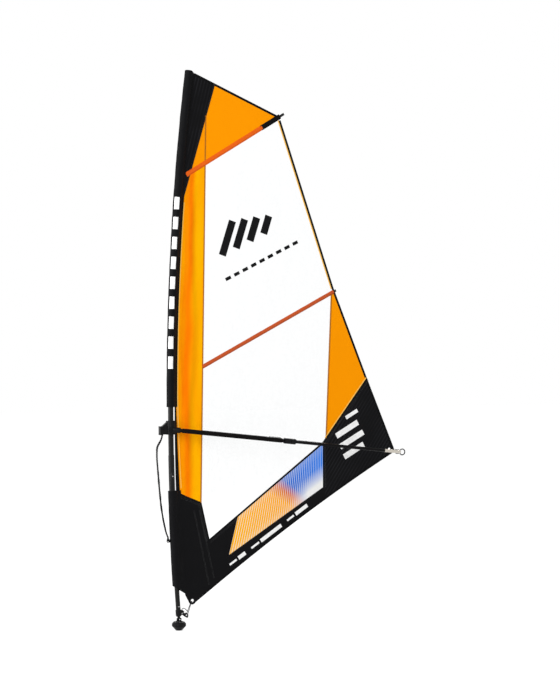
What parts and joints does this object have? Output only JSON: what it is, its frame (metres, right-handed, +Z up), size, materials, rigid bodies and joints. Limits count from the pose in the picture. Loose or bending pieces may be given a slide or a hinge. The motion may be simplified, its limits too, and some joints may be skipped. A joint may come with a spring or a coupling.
{
  "type": "windsurf sail rig",
  "caption": "Triangular sail in orange, black and clear film on a bent mast, with a sliding wishbone boom and a universal-jointed mast foot that carries and steers it on a board.",
  "frame": {"origin": "centre of the mast foot's underside, on the board, where the threaded stud leaves it", "axes": "+Z up along the stud, +X aft towards the clew, +Y to port, across the sail"},
  "size_m": [2.1856, 0.347, 4.3399],
  "materials": {
    "foot_plastic": "moulded, satin black",
    "pad_rubber": "matt, fine grain",
    "steel": "brushed stainless",
    "button_grey": "moulded grey",
    "sheave_plastic": "turned, satin",
    "thin_line": "braided line, dark",
    "dark_alloy": "black anodised",
    "mast_glassfibre": "filament-wound laminate under clear resin",
    "black_cloth": "coated woven polyester, stitched",
    "orange_cloth": "resin-filled woven polyester, stitched",
    "clear_film": "clear film with a faint sheen",
    "striped_cloth": "woven polyester with printed stripes",
    "pocket_cloth": "woven polyester tape, red-orange",
    "batten_rod": "pultruded rod, dark",
    "edge_webbing": "folded tape, black",
    "boom_plastic": "moulded, fine grain",
    "liner_rubber": "matt",
    "grip_foam": "foam sleeve, fine ribs",
    "bare_alloy": "bare, brushed",
    "ring_steel": "black coated wire",
    "uphaul_rope": "laid rope, dark"
  },
  "bodies": {
    "base": {"base_disc": "foot_plastic", "deck_pad": "pad_rubber", "board_stud": "steel"},
    "foot_swivel": {"lower_fork": "foot_plastic", "roll_pin": "steel"},
    "cross": {"joint_cross": "foot_plastic", "pitch_pins": "steel"},
    "rig": {"upper_fork": "foot_plastic", "foot_cup": "foot_plastic", "pulley_axle": "steel", "downhaul_cleat": "foot_plastic", "downhaul_line": "thin_line", "extension_tube": "dark_alloy", "extension_collar": "foot_plastic", "mast_section_1": "mast_glassfibre", "mast_section_2": "mast_glassfibre", "mast_section_3": "mast_glassfibre", "mast_section_4": "mast_glassfibre", "mast_cap": "foot_plastic", "luff_sleeve_upper": "black_cloth", "luff_sleeve_lower": "black_cloth", "cutout_hem": "black_cloth", "head_patch": "black_cloth", "head_panel": "orange_cloth", "luff_panel": "orange_cloth", "window_upper": "clear_film", "window_lower": "clear_film", "leech_panel": "orange_cloth", "clew_panel": "black_cloth", "tack_panel": "black_cloth", "foot_band": "black_cloth", "print_panel": "striped_cloth", "batten_pocket_upper": "pocket_cloth", "batten_upper": "batten_rod", "batten_pocket_lower": "pocket_cloth", "batten_lower": "batten_rod", "edge_tape": "edge_webbing", "foot_tape": "edge_webbing", "eyelets": "ring_steel", "uphaul_loop": "edge_webbing"},
    "boom": {"boom_head": "boom_plastic", "mast_liner": "liner_rubber", "boom_arms": "dark_alloy", "boom_grips": "grip_foam", "arm_collars": "boom_plastic", "uphaul_line": "uphaul_rope"},
    "boom_tail": {"tail_legs": "dark_alloy", "tail_yoke": "bare_alloy", "outhaul_line": "thin_line"},
    "clamp_lever": {"clamp_lever": "boom_plastic"},
    "tail_lever_port": {"tail_lever_port": "boom_plastic"},
    "tail_lever_starboard": {"tail_lever_starboard": "boom_plastic"},
    "tail_ring": {"tail_ring": "ring_steel"},
    "release_button": {"release_button": "button_grey"},
    "downhaul_sheave": {"downhaul_sheave": "sheave_plastic"},
    "extension_button": {"extension_button": "steel"},
    "mast_button_1": {"mast_button_1": "steel"},
    "mast_button_2": {"mast_button_2": "steel"},
    "mast_button_3": {"mast_button_3": "steel"}
  },
  "joints": [
    {"name": "foot_turn", "type": "hinge", "parent": "base", "child": "foot_swivel", "pos_m": [0, 0, 0], "axis": [0, 0, 1], "continuous": true},
    {"name": "mast_foot_roll", "type": "hinge", "parent": "foot_swivel", "child": "cross", "pos_m": [0, 0, 0.084], "axis": [1, 0, 0], "range_deg": [-65, 65]},
    {"name": "mast_foot_pitch", "type": "hinge", "parent": "cross", "child": "rig", "pos_m": [0, 0, 0.084], "axis": [0, 1, 0], "range_deg": [-60, 32]},
    {"name": "boom_height", "type": "slide", "parent": "rig", "child": "boom", "axis": [-0.0112, 0, 0.9999], "range_m": [-0.1, 0.1], "deforming": ["uphaul_line", "outhaul_line"]},
    {"name": "boom_length", "type": "slide", "parent": "boom", "child": "boom_tail", "axis": [0.9938, 0, -0.1115], "range_m": [-0.012, 0.1], "deforming": ["outhaul_line"]},
    {"name": "clamp_release", "type": "hinge", "parent": "boom", "child": "clamp_lever", "pos_m": [-0.13888, 0, 1.56519], "axis": [0, 1, 0], "range_deg": [0, 100]},
    {"name": "tail_lock_port", "type": "hinge", "parent": "boom", "child": "tail_lever_port", "pos_m": [0.89103, 0.16846, 1.43854], "axis": [0.1115, 0, 0.9938], "range_deg": [0, 100]},
    {"name": "tail_lock_starboard", "type": "hinge", "parent": "boom", "child": "tail_lever_starboard", "pos_m": [0.89103, -0.16846, 1.43854], "axis": [-0.1115, 0, -0.9938], "range_deg": [0, 100]},
    {"name": "ring_swing", "type": "hinge", "parent": "boom_tail", "child": "tail_ring", "pos_m": [1.94509, 0, 1.32031], "axis": [0.1115, 0, 0.9938], "range_deg": [-60, 60]},
    {"name": "release_press", "type": "slide", "parent": "rig", "child": "release_button", "axis": [0.9969, 0, 0.0788], "range_m": [0, 0.003], "stiffness_N_per_m": 400, "springref_m": -0.002},
    {"name": "sheave_turn", "type": "hinge", "parent": "rig", "child": "downhaul_sheave", "pos_m": [0.058, 0, 0.112], "axis": [0, 1, 0], "continuous": true},
    {"name": "extension_button_press", "type": "slide", "parent": "rig", "child": "extension_button", "axis": [0, 1, 0], "range_m": [0, 0.005], "stiffness_N_per_m": 400, "springref_m": -0.002},
    {"name": "mast_button_1_press", "type": "slide", "parent": "rig", "child": "mast_button_1", "axis": [0, 1, 0], "range_m": [0, 0.006], "stiffness_N_per_m": 400, "springref_m": -0.002},
    {"name": "mast_button_2_press", "type": "slide", "parent": "rig", "child": "mast_button_2", "axis": [0, 1, 0], "range_m": [0, 0.006], "stiffness_N_per_m": 400, "springref_m": -0.002},
    {"name": "mast_button_3_press", "type": "slide", "parent": "rig", "child": "mast_button_3", "axis": [0, 1, 0], "range_m": [0, 0.006], "stiffness_N_per_m": 400, "springref_m": -0.002}
  ]
}
